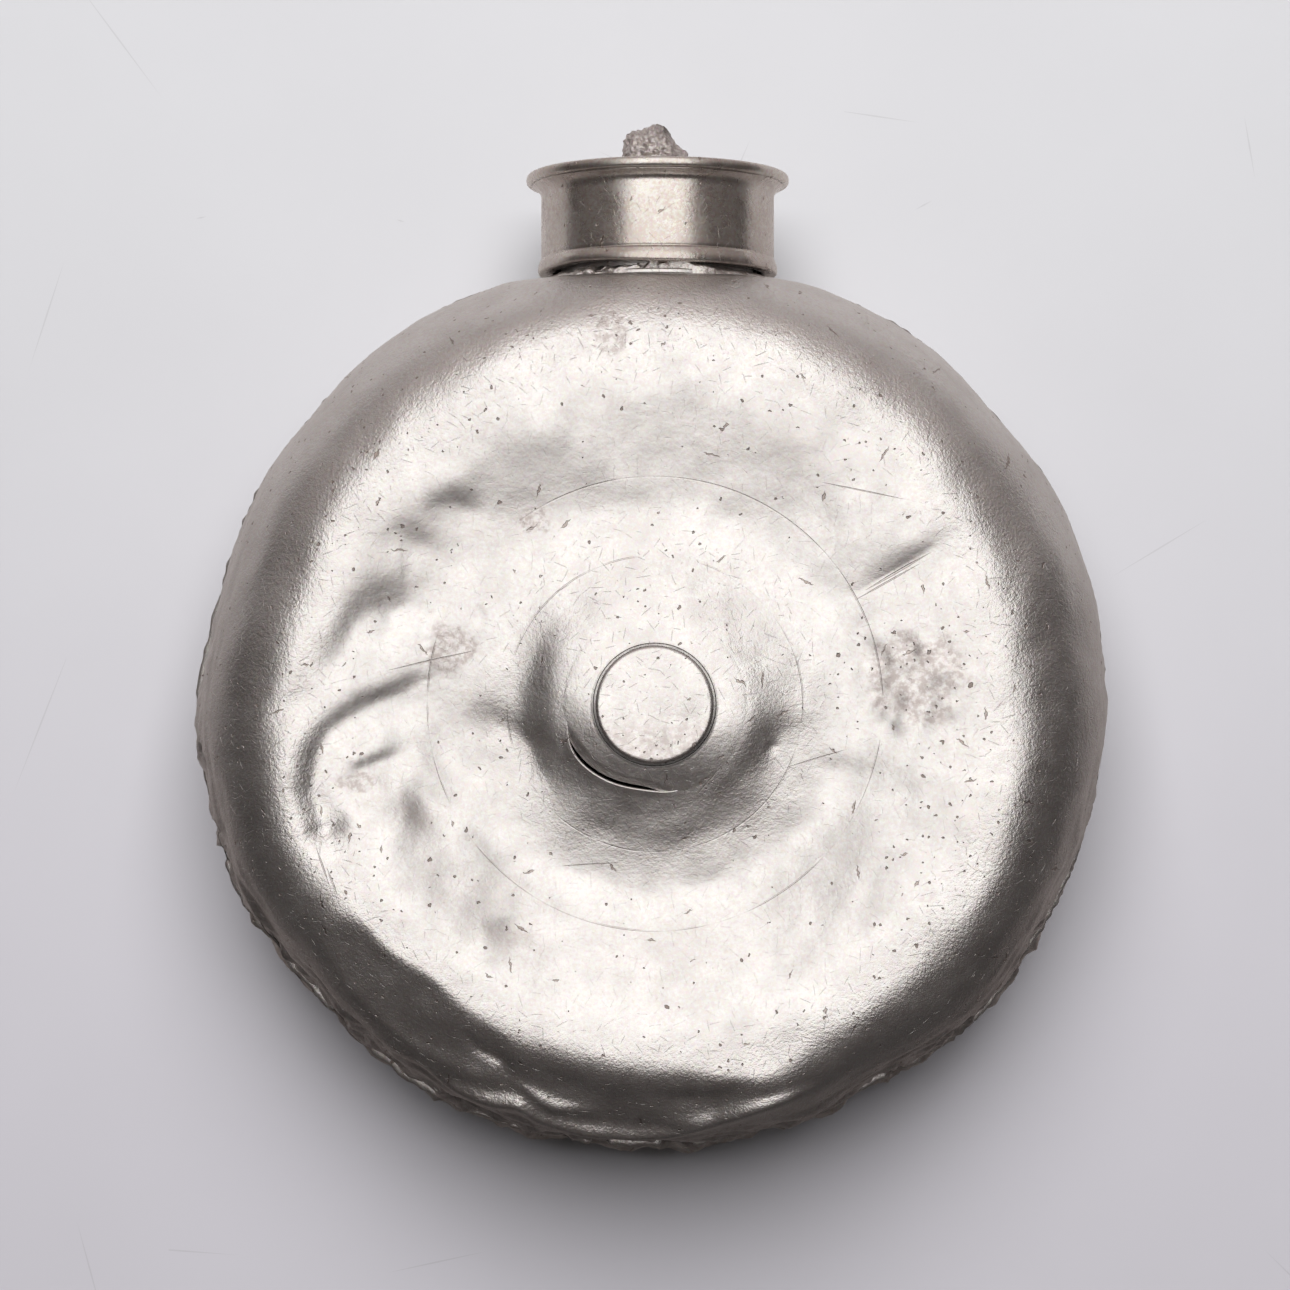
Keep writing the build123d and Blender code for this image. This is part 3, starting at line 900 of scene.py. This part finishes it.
class Nodes:
    """Builds a node tree. Methods that stand for a value add its nodes and return the output to use."""

    def __init__(self, tree):
        self.tree = tree
        tree.nodes.clear()

    def add(self, kind, settings=None, **inputs):
        node = self.tree.nodes.new(kind)
        for key, value in (settings or {}).items():
            setattr(node, key, value)
        for key, value in inputs.items():
            socket = node.inputs[int(key[1:])] if key[0] == "i" and key[1:].isdigit() else node.inputs[key]
            self.put(socket, value)
        return node

    def put(self, socket, value):
        if isinstance(value, bpy.types.NodeSocket):
            self.tree.links.new(value, socket)
        else:
            socket.default_value = value

    def math(self, operation, a, b=0.0, clamp=False):
        node = self.add("ShaderNodeMath", {"operation": operation, "use_clamp": clamp})
        for socket, value in zip(node.inputs, (a, b)):
            self.put(socket, value)
        return node.outputs[0]

    def plus(self, a, b):
        return self.math("ADD", a, b)

    def minus(self, a, b):
        return self.math("SUBTRACT", a, b)

    def times(self, a, b):
        return self.math("MULTIPLY", a, b)

    def over(self, a, b):
        return self.math("DIVIDE", a, b)

    def most(self, *values):
        total = values[0]
        for value in values[1:]:
            total = self.math("MAXIMUM", total, value)
        return total

    def turned(self, x, y, c, s):
        """How far a point lies along and beside a line with cosine c and sine s."""
        along_it = self.math("ABSOLUTE", self.plus(self.times(x, c), self.times(y, s)))
        beside_it = self.math("ABSOLUTE", self.minus(self.times(y, c), self.times(x, s)))
        return along_it, beside_it

    def length(self, x, y):
        return self.math("SQRT", self.plus(self.times(x, x), self.times(y, y)))

    def remap(self, value, low, high, to_low=0.0, to_high=1.0, smooth=False):
        kind = "SMOOTHSTEP" if smooth else "LINEAR"
        node = self.add("ShaderNodeMapRange", {"interpolation_type": kind})
        for socket, item in zip(node.inputs, (value, low, high, to_low, to_high)):
            self.put(socket, item)
        return node.outputs[0]

    def rise(self, value, low, high):
        return self.remap(value, low, high, smooth=True)

    def fall(self, value, low, high):
        return self.remap(value, low, high, 1.0, 0.0, smooth=True)

    def noise(self, vector, scale, detail=2.0, roughness=0.5):
        node = self.add("ShaderNodeTexNoise", Vector=vector, Scale=scale, Detail=detail, Roughness=roughness)
        return node.outputs[0]

    def mix(self, factor, a, b, blend="MIX"):
        node = self.add("ShaderNodeMix", {"data_type": "RGBA", "blend_type": blend})
        for socket, value in zip((0, 6, 7), (factor, a, b)):
            self.put(node.inputs[socket], value)
        return node.outputs[2]

    def vector(self, operation, a, b):
        return self.add("ShaderNodeVectorMath", {"operation": operation}, i0=a, i1=b).outputs[0]

    def split(self, vector):
        return self.add("ShaderNodeSeparateXYZ", Vector=vector).outputs

    def cells(self, place, cells_per_m):
        """Distance from the nearest random point, three random numbers of its own, and its place."""
        cells = self.add("ShaderNodeTexVoronoi", Vector=place, Scale=cells_per_m, Randomness=1.0).outputs
        return cells[0], self.add("ShaderNodeSeparateColor", i0=cells[1]).outputs, cells[2]

    def attribute(self, name):
        return self.add("ShaderNodeAttribute", {"attribute_name": name}).outputs[2]

    def show(self, shader, output="ShaderNodeOutputMaterial"):
        self.put(self.add(output).inputs[0], shader.outputs[0])

    def show_surface(self, colour, **inputs):
        shader = self.add("ShaderNodeBsdfPrincipled", **inputs)
        self.put(shader.inputs["Base Color"], colour)
        self.show(shader)


def new_material(name):
    """A new material, the builder of its node tree, and the places on its object in metres."""
    material = bpy.data.materials.new(name)
    material.use_nodes = True
    n = Nodes(material.node_tree)
    return material, n, n.add("ShaderNodeTexCoord").outputs["Object"]


def rgb(r, g, b):
    return (r, g, b, 1.0)


def pit_mask(n, place, cells_per_m, share, size):
    """Irregular little pits of all sizes: share of the cells hold one, up to size cells wide."""
    distance, random, _ = n.cells(place, cells_per_m)
    inside = n.minus(n.remap(random[0], n.minus(1.0, share), 1.0, 0.0, size), distance)
    return n.rise(inside, 0.0, 0.3 * size)


def nick_mask(n, place, cells_per_m, share, half_length, half_width):
    """Short straight nicks that point every way: share of the cells hold one. Sizes are in millimetres."""
    _, random, middle = n.cells(place, cells_per_m)
    x, y, _ = n.split(n.vector("SUBTRACT", place, middle))
    turn = n.times(random[0], math.pi)
    u, v = n.turned(x, y, n.math("COSINE", turn), n.math("SINE", turn))
    length = n.times(random[1], half_length * MM)
    width = n.remap(n.over(u, length), 0.0, 1.0, half_width * MM, 0.0)
    beside = n.over(v, n.most(width, 0.001 * MM))
    line = n.fall(beside, 0.5, 1.0)
    here = n.math("LESS_THAN", random[2], share)
    return n.times(line, here)


class FrontFace:
    """Places on the front face, in millimetres, for the marks that have their own spot on it."""

    def __init__(self, n, place):
        self.n = n
        self.place = place
        self.x, self.y, z = n.split(place)
        self.front = n.remap(z, (TOP_Z - 14) * MM, (TOP_Z - 12) * MM)
        self.wobble = n.remap(n.noise(place, 350.0, 3.0), 0.3, 0.7, -1.0, 1.0)
        self.radius = n.length(self.x, self.y)

    def patch(self, centre, half, edge=0.35):
        """1 inside a wobbly oval, 0 outside."""
        n = self.n
        x = n.over(n.minus(self.x, centre[0] * MM), half[0] * MM)
        y = n.over(n.minus(self.y, centre[1] * MM), half[1] * MM)
        distance = n.plus(n.length(x, y), n.times(self.wobble, edge))
        inside = n.fall(distance, 1 - edge / 2, 1 + edge / 2)
        return n.times(inside, self.front)

    def scratch(self, start, end, half_width):
        """1 along a straight line that thins out at both ends, 0 beside it."""
        n = self.n
        run = np.array(end) - np.array(start)
        half = np.linalg.norm(run) / 2
        middle = (np.array(start) + np.array(end)) / 2
        x = n.minus(self.x, middle[0] * MM)
        y = n.minus(self.y, middle[1] * MM)
        u, v = n.turned(x, y, *(run / (2 * half)))
        width = n.remap(u, 0.3 * half * MM, half * MM, half_width * MM, 0.0)
        beside = n.over(v, n.most(width, 0.001 * MM))
        return n.times(n.fall(beside, 0.4, 1.0), self.front)

    def circle(self, radius, half_width):
        """1 along a circle round the boss, 0 beside it."""
        n = self.n
        off = n.math("ABSOLUTE", n.minus(self.radius, radius * MM))
        line = n.fall(off, 0.4 * half_width * MM, half_width * MM)
        return n.times(line, self.front)


# Straight scratches of the front face: start, end, half width
SCRATCHES = [
    ((-25.0, 7.4), (-36.8, 4.7), 0.13),
    ((37.9, 20.9), (29.0, 15.7), 0.2),
    ((36.5, 19.4), (27.5, 14.3), 0.13),
    ((22.8, 30.6), (34.2, 28.2), 0.1),
    ((-46.5, -19.5), (-44.6, -24.8), 0.13),
    ((-45.0, -22.3), (-43.4, -26.3), 0.13),
    ((18.0, -8.8), (26.3, -6.3), 0.1),
    ((5.0, -13.4), (9.5, -8.2), 0.1),
    ((-12.9, -22.5), (-5.0, -22.0), 0.1),
]
ENGRAVED_RADII = (20.5, 31.4)

# Stains of the front face: middle, half widths
STAINS = [
    ((-28.6, 7.6), (3.3, 3.4)),
    ((-40.9, -10.7), (2.6, 1.4)),
    ((-16.3, 25.4), (2.0, 1.8)),
    ((36.0, 3.5), (6.5, 6.0)),
    ((-6.1, 50.9), (2.3, 3.0)),
]
# Where pits crowd: middle, half widths
PITTED = [
    ((34.6, 3.0), (9.5, 10.5)),
    ((-45.5, 27.0), (3.5, 11.5)),
    ((-6.1, 50.9), (3.5, 3.5)),
    ((40.0, -20.0), (7.0, 20.0)),
]


SPECK = rgb(0.21, 0.14, 0.11)
# Near black, painted as shade into holes, creases and the groove round the button.
SHADE_AND_GRIME = rgb(0.03, 0.026, 0.026)
# Stain colour, also used as painted shade on the cap's sides.
STAIN_AND_SHADE = rgb(0.40, 0.35, 0.335)
SCRATCHED = rgb(0.25, 0.2, 0.18)


def warped(n, place):
    """Places pushed about a little, so that marks get ragged outlines."""
    noise = n.add("ShaderNodeTexNoise", Vector=place, Scale=1500.0, Detail=1.0).outputs[1]
    return n.vector("ADD", place, n.vector("MULTIPLY", noise, [0.75 * MM] * 3))


def metal_colour(n, place, grain, bright, patina):
    """Clouds of patina on bright metal, with a faint tint of many colours."""
    cloud = n.noise(place, 70.0, 4.0, 0.6)
    dull = n.plus(n.remap(cloud, 0.42, 0.68), n.remap(grain.outputs[0], 0.35, 0.65, -0.4, 0.8))
    colour = n.mix(n.math("ADD", dull, clamp=True), bright, patina)
    return n.mix(0.4, colour, n.mix(0.55, grain.outputs[1], rgb(0.5, 0.5, 0.5)), "OVERLAY")


def face_marks(n, face, place):
    """1 in the straight scratches and in what is left of the engraved circles."""
    left = n.remap(n.noise(place, 110.0, 2.0), 0.4, 0.62, 0.05, 0.7, smooth=True)
    circles = n.most(*[face.circle(radius, 0.13) for radius in ENGRAVED_RADII])
    return n.most(*[face.scratch(*scratch) for scratch in SCRATCHES], n.times(circles, left))


def pewter(name, bright, patina, roughness, pits=1.0, marks=1.0, front_face=False):
    """Worn pewter: a soft metal with pits, brown specks, hairline scratches and a dull patina.

    The meshes say where shade is painted near black into holes, creases and the groove round the button, and
    where it is darker on the seam bead and the stump's broken top; and where it is worn dull, with the cap's
    sides also painted darker as shade. Heights are in millimetres.
    """
    material, n, place = new_material(name)
    # Shade painted by the meshes, with the bead's and stump's darker tone, and wear, which on the cap's sides
    # is partly painted shade.
    shade_and_dirt, dulled_and_shaded = n.attribute("shade_and_grime"), n.attribute("wear_and_shade")
    grain = n.add("ShaderNodeTexNoise", Vector=place, Scale=2000.0, Detail=2.0, Roughness=0.75)
    crowd = n.most(dulled_and_shaded, n.remap(n.noise(place, 75.0, 2.0), 0.48, 0.72, 0.0, 0.6))
    stain_and_shade = n.times(dulled_and_shaded, 0.8)
    hatch = marks
    if front_face:
        face = FrontFace(n, place)
        outer = n.remap(face.radius, 40 * MM, 50 * MM, 0.0, 0.5, smooth=True)
        crowd = n.most(crowd, *[face.patch(*spot, 0.5) for spot in PITTED], outer)
        stain_and_shade = n.most(stain_and_shade, *[face.patch(*spot) for spot in STAINS])
        on_shoulder = n.remap(face.radius, 43 * MM, 51 * MM, 0.3, 2.0, smooth=True)
        round_boss = n.fall(face.radius, 20 * MM, 29 * MM)
        hatch = n.most(on_shoulder, round_boss)

    ragged = warped(n, place)
    fine_share = n.plus(0.05 * pits, n.times(crowd, 0.5 * pits))
    coarse_share = n.plus(0.06 * pits, n.times(crowd, 0.16 * pits))
    pit = n.most(pit_mask(n, ragged, 1050.0, fine_share, 0.3), pit_mask(n, ragged, 480.0, coarse_share, 0.17))
    speck = n.most(pit, nick_mask(n, ragged, 230.0, 0.16, 1.3, 0.2))
    mottle = n.remap(n.noise(place, 1100.0, 2.0, 0.7), 0.4, 0.6, 0.1, 0.8)
    colour = metal_colour(n, place, grain, bright, patina)
    colour = n.mix(n.times(speck, 0.6), colour, SPECK)
    # Painted shade: near black in holes, creases and the groove round the button; darker on the bead and the
    # stump's top.
    colour = n.mix(n.times(shade_and_dirt, 0.85), colour, SHADE_AND_GRIME)
    # Mottled stains; on the cap's sides partly painted shade.
    colour = n.mix(n.times(stain_and_shade, mottle), colour, STAIN_AND_SHADE)

    hair = nick_mask(n, place, 620.0, 0.75, 1.2, 0.07)
    height = n.plus(n.times(speck, -0.08), n.times(hair, n.times(hatch, -0.025)))
    height = n.plus(height, n.times(n.noise(place, 330.0, 3.0, 0.55), 0.06 * marks))
    height = n.plus(height, n.times(grain.outputs[0], n.times(hatch, 0.05)))
    if front_face:
        mark = face_marks(n, face, place)
        colour = n.mix(n.times(mark, 0.35), colour, SCRATCHED)
        height = n.plus(height, n.times(mark, -0.05))

    rough = n.remap(n.noise(place, 260.0, 3.0, 0.65), 0.3, 0.7, roughness - 0.05, roughness + 0.08)
    rough = n.plus(rough, n.times(n.most(pit, shade_and_dirt), 0.25))
    bump = n.add("ShaderNodeBump", Strength=1.0, Distance=MM, Height=height).outputs[0]
    n.show_surface(colour, Metallic=1.0, Roughness=rough, Normal=bump)
    return material


def leather(name):
    material, n, place = new_material(name)
    grain = n.add("ShaderNodeTexVoronoi", Vector=place, Scale=1400.0).outputs[0]
    cloud = n.noise(place, 250.0, 3.0)
    colour = n.mix(cloud, rgb(0.045, 0.022, 0.012), rgb(0.13, 0.065, 0.032))
    bump = n.add("ShaderNodeBump", Strength=0.6, Distance=0.2 * MM, Height=grain).outputs[0]
    n.show_surface(colour, Roughness=0.62, Normal=bump)
    return material


def floor_material(name, shaded_near_colour, lit_far_colour):
    """Pale board, painted a little darker below the flask and lighter above it, as painted light falloff."""
    material, n, place = new_material(name)
    _, along_y, _ = n.split(place)
    # Painted light falloff: darker towards the bottom, lighter towards the cap.
    colour = n.mix(n.rise(along_y, -0.07, 0.09), shaded_near_colour, lit_far_colour)
    hair = nick_mask(n, place, 28.0, 0.6, 14.0, 0.16)
    cloud = n.noise(place, 30.0, 3.0)
    dull = n.plus(n.times(hair, 0.3), n.remap(cloud, 0.3, 0.7, 0.0, 0.05))
    n.show_surface(n.mix(dull, colour, rgb(0.3, 0.29, 0.3)), Roughness=0.6)
    return material


def mirrored_board_material(name):
    """The warm, dimmer board that the metal mirrors, with painted shadow and light: darker below the flask,
    where its shadow falls, lighter towards the cap, and fading to near black away from the middle as painted
    light falloff.
    """
    material, n, place = new_material(name)
    _, along_y, _ = n.split(place)
    lit_towards_cap = n.rise(along_y, -0.08, 0.1)
    # Painted shadow below the flask, lighter towards the cap.
    colour = n.mix(lit_towards_cap, rgb(0.17, 0.145, 0.14), rgb(0.48, 0.45, 0.445))
    from_middle = n.vector("SUBTRACT", place, (0, BOARD_SHIFT, 0))
    distance = n.add("ShaderNodeVectorMath", {"operation": "LENGTH"}, i0=from_middle).outputs[1]
    # Painted falloff to near black past the board's reach.
    lit_near_middle = n.fall(distance, 0.7 * BOARD_REACH, BOARD_REACH)
    n.show_surface(n.mix(lit_near_middle, rgb(0.03, 0.028, 0.028), colour), Roughness=0.6)
    return material


# -------------------- studio

CAMERA_SPOT = (-1.32, 8.19, 459.0)
VIEW_HALF_WIDTH = 93.5
SENSOR = 36.0


def camera():
    data = bpy.data.cameras.new("camera")
    data.sensor_width = SENSOR
    data.lens = SENSOR / 2 * (CAMERA_SPOT[2] - MID_Z) / VIEW_HALF_WIDTH
    data.clip_start = 0.01
    data.clip_end = 20
    obj = bpy.data.objects.new("camera", data)
    obj.location = [c * MM for c in CAMERA_SPOT]
    bpy.context.scene.collection.objects.link(obj)
    bpy.context.scene.camera = obj


FLOOR_HALF = 3000.0
WALL_H = 2500.0
BACKDROP_GLOW = 0.72
BOARD_REACH = 0.25  # metres, as in the materials
BOARD_SHIFT = 0.12


def hide_from(obj, *rays):
    for ray in rays:
        setattr(obj, f"visible_{ray}", False)


def floor_plane(name, z, material):
    half = FLOOR_HALF
    corners = [(-half, -half, z), (half, -half, z), (half, half, z), (-half, half, z)]
    obj = new_object(name, corners, [(0, 1, 2, 3)], smooth=False)
    obj.data.materials.append(material)
    return obj


def floor():
    """The pale floor, and the small lit board that the metal mirrors in its place."""
    board = floor_material("pale_floor", rgb(0.505, 0.488, 0.525), rgb(0.525, 0.522, 0.54))
    seen = floor_plane("floor", -0.2, board)
    hide_from(seen, "glossy")
    mirrored = floor_plane("floor_mirrored", -0.1, mirrored_board_material("mirrored_board"))
    hide_from(mirrored, "camera", "diffuse", "shadow")


def backdrop():
    """A pale wall behind everything, which only the camera sees."""
    a = np.linspace(0, 2 * math.pi, 48, endpoint=False)
    rows = [np.stack([FLOOR_HALF * np.cos(a), FLOOR_HALF * np.sin(a), 0 * a + z], -1) for z in (-1.0, WALL_H)]
    obj = new_object("backdrop", np.concatenate(rows), ring_faces(2, 48))
    material, n, _ = new_material("pale_wall")
    n.show(n.add("ShaderNodeEmission", Strength=BACKDROP_GLOW))
    obj.data.materials.append(material)
    hide_from(obj, "glossy", "diffuse", "shadow", "transmission")


LAMP_TILT = 27.0  # degrees from straight up, towards the cap
LAMP_DISTANCE = 1000.0
LAMP_SIZE = 720.0
LAMP_POWER = 16.0


def floor_lamp():
    """A soft lamp that lights the floor and throws the flask's shadow, and isn't mirrored by the metal."""
    data = bpy.data.lights.new("floor_lamp", "AREA")
    data.size = LAMP_SIZE * MM
    data.energy = LAMP_POWER
    obj = bpy.data.objects.new("floor_lamp", data)
    tilt = math.radians(LAMP_TILT)
    obj.location = (0.0, LAMP_DISTANCE * MM * math.sin(tilt), LAMP_DISTANCE * MM * math.cos(tilt))
    obj.rotation_euler = (-tilt, 0.0, 0.0)
    hide_from(obj, "glossy")
    bpy.context.scene.collection.objects.link(obj)


BOX_SIDE = 32.0  # degrees from straight up to the light's left and right edges
BOX_LOW = (-34.0, -10.0)  # its soft edge towards the bottom of the flask
BOX_HIGH = (34.0, 64.0)  # its soft edge towards the cap
LIGHT = 1.72
DARK = 0.09
WALL_GLOW = 0.66  # on the cap's side, falling to DARK round the other side


def studio_light():
    """A wide soft light overhead in a dark room."""
    world = bpy.data.worlds.new("studio")
    bpy.context.scene.world = world
    world.use_nodes = True
    world.cycles_visibility.diffuse = False
    n = Nodes(world.node_tree)
    x, y, z = n.split(n.add("ShaderNodeTexCoord").outputs["Generated"])
    side = n.times(n.math("ARCTAN2", n.math("ABSOLUTE", x), z), 180 / math.pi)
    tilt = n.times(n.math("ARCTAN2", y, z), 180 / math.pi)
    in_side = n.fall(side, BOX_SIDE - 2, BOX_SIDE + 2)
    in_low = n.rise(tilt, BOX_LOW[0], BOX_LOW[1])
    in_high = n.fall(tilt, BOX_HIGH[0], BOX_HIGH[1])
    box = n.times(n.times(in_side, in_low), in_high)
    toward_cap = n.over(y, n.most(n.length(x, y), 0.01))
    wall = n.remap(toward_cap, 0.08, 1.0, DARK, WALL_GLOW)
    strength = n.remap(box, 0.0, 1.0, wall, LIGHT)
    shader = n.add("ShaderNodeBackground", Strength=strength)
    n.put(shader.inputs[0], n.mix(box, rgb(1.0, 0.89, 0.86), rgb(1.0, 0.985, 0.965)))
    n.show(shader, "ShaderNodeOutputWorld")


# -------------------- everything

camera()
floor()
backdrop()
studio_light()
floor_lamp()
bpy.context.scene.view_settings.view_transform = "Standard"

spun_colours = rgb(0.67, 0.65, 0.635), rgb(0.60, 0.575, 0.56)
face_pewter = pewter("pewter_face_worn", *spun_colours, 0.33, front_face=True)
body_pewter = pewter("pewter_body_worn", rgb(0.66, 0.64, 0.62), rgb(0.56, 0.53, 0.50), 0.34)
turned_pewter = pewter("pewter_turned_worn", *spun_colours, 0.32, 1.2, 0.8)
cap_pewter = pewter("pewter_cap_worn", rgb(0.61, 0.575, 0.54), rgb(0.49, 0.44, 0.405), 0.27, 0.8, 0.5)
broken_pewter = pewter("pewter_broken", rgb(0.64, 0.60, 0.58), rgb(0.42, 0.38, 0.37), 0.5, 1.2, 2.0)
solder_pewter = pewter("solder_worn", rgb(0.70, 0.68, 0.66), rgb(0.55, 0.51, 0.49), 0.42, 1.2, 2.5)
washer_leather = leather("washer_leather")

front = front_shell()
cut_neck_hole(front)
finish_piece(front, "flask", ["front_shell"], face_pewter)
back = back_shell()
cut_neck_hole(back)
finish_piece(back, "flask", ["back_shell"], body_pewter)
finish_piece(seam_bead(), "flask", ["seam_solder"], solder_pewter)
for side, is_front in (("front", True), ("back", False)):
    ring = boss_ring(f"{side}_ring_turned", is_front)
    finish_piece(ring, "flask", [f"{side}_boss_ring"], turned_pewter)
    button = boss_button(f"{side}_button_turned", is_front)
    finish_piece(button, "flask", [f"{side}_boss_button"], turned_pewter)
finish_piece(neck(), "flask", ["neck"], turned_pewter)
finish_piece(neck_solder(), "flask", ["neck_solder"], solder_pewter)
finish_piece(cap_barrel(), "cap", ["cap_barrel"], cap_pewter)
finish_piece(cap_lid(), "cap", ["cap_lid"], cap_pewter)
finish_piece(cap_stump(), "cap", ["cap_stump"], broken_pewter)
finish_piece(cap_washer(), "cap_seal", ["cap_washer"], washer_leather)
